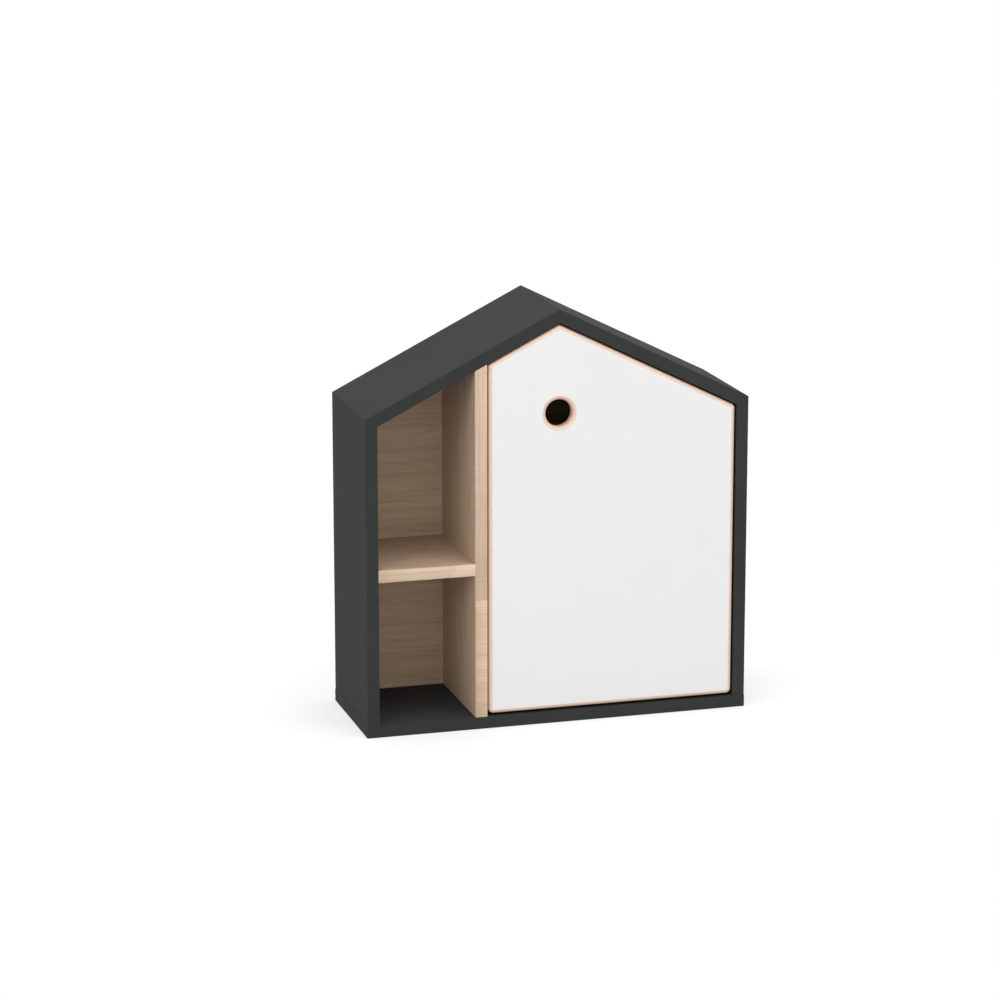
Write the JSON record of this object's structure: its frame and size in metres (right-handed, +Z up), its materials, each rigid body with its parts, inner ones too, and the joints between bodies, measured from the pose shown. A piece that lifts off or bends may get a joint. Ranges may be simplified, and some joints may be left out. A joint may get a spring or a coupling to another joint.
{
  "type": "wall cabinet",
  "caption": "House-shaped wall cabinet with two open niches, a shelf and a hinged door with a finger hole, hung on keyhole plates.",
  "frame": {"origin": "middle of the base's underside, under the ridge", "axes": "+Z up, +X to the right and +Y to the back, seen from the front; the front faces -Y"},
  "size_m": [0.5812, 0.2, 0.62],
  "materials": {
    "graphite_board": "matt graphite laminate on board",
    "maple_board": "pale maple, clear matt lacquer",
    "door_core": "pale routed edge, clear matt lacquer",
    "white_laminate": "smooth matt white laminate",
    "hinge_steel": "nickel-plated pressed steel",
    "screw_steel": "zinc-plated steel",
    "beech_dowel": "plain beech",
    "magnet": "nickel-plated magnet"
  },
  "bodies": {
    "cabinet": {"base_panel": "graphite_board", "left_side_panel": "graphite_board", "right_side_panel": "graphite_board", "left_roof_panel": "graphite_board", "right_roof_panel": "graphite_board", "back_panel": "maple_board", "divider_panel": "maple_board", "divider_lower_edging": "maple_board", "divider_upper_edging": "maple_board", "shelf_panel": "maple_board", "shelf_edging": "maple_board", "ridge_dowels": "beech_dowel", "eave_dowels": "beech_dowel", "back_side_dowels": "beech_dowel", "back_roof_dowels": "beech_dowel", "shelf_dowels": "beech_dowel", "divider_dowels": "beech_dowel", "base_screws": "screw_steel", "lower_mounting_plate": "hinge_steel", "upper_mounting_plate": "hinge_steel", "plate_screws": "screw_steel", "lower_hinge_arm": "hinge_steel", "upper_hinge_arm": "hinge_steel", "arm_pins": "hinge_steel", "arm_screws": "screw_steel", "lower_door_stop": "maple_board", "upper_door_stop": "maple_board", "stop_screws": "screw_steel", "stop_magnets": "magnet", "left_hanger_plate": "hinge_steel", "right_hanger_plate": "hinge_steel", "hanger_screws": "screw_steel"},
    "hinge_links": {"lower_hinge_link": "hinge_steel", "upper_hinge_link": "hinge_steel"},
    "door": {"door_board": "door_core", "door_front_laminate": "white_laminate", "door_back_laminate": "white_laminate", "lower_hinge_cup": "hinge_steel", "upper_hinge_cup": "hinge_steel", "cup_pins": "hinge_steel", "cup_screws": "screw_steel", "strike_discs": "hinge_steel", "strike_screws": "screw_steel"}
  },
  "joints": [
    {"name": "door_swing", "type": "hinge", "parent": "hinge_links", "child": "door", "pos_m": [0.2605, -0.0865, 0.24], "axis": [0, 0, 1], "range_deg": [0, 133]},
    {"name": "hinge_link_swing", "type": "hinge", "parent": "cabinet", "child": "hinge_links", "pos_m": [0.2375, -0.0785, 0.24], "axis": [0, 0, 1], "range_deg": [-38, 0]}
  ],
  "couplings": [
    {"joint": "hinge_link_swing", "follows": "door_swing", "ratio": -0.2857}
  ]
}
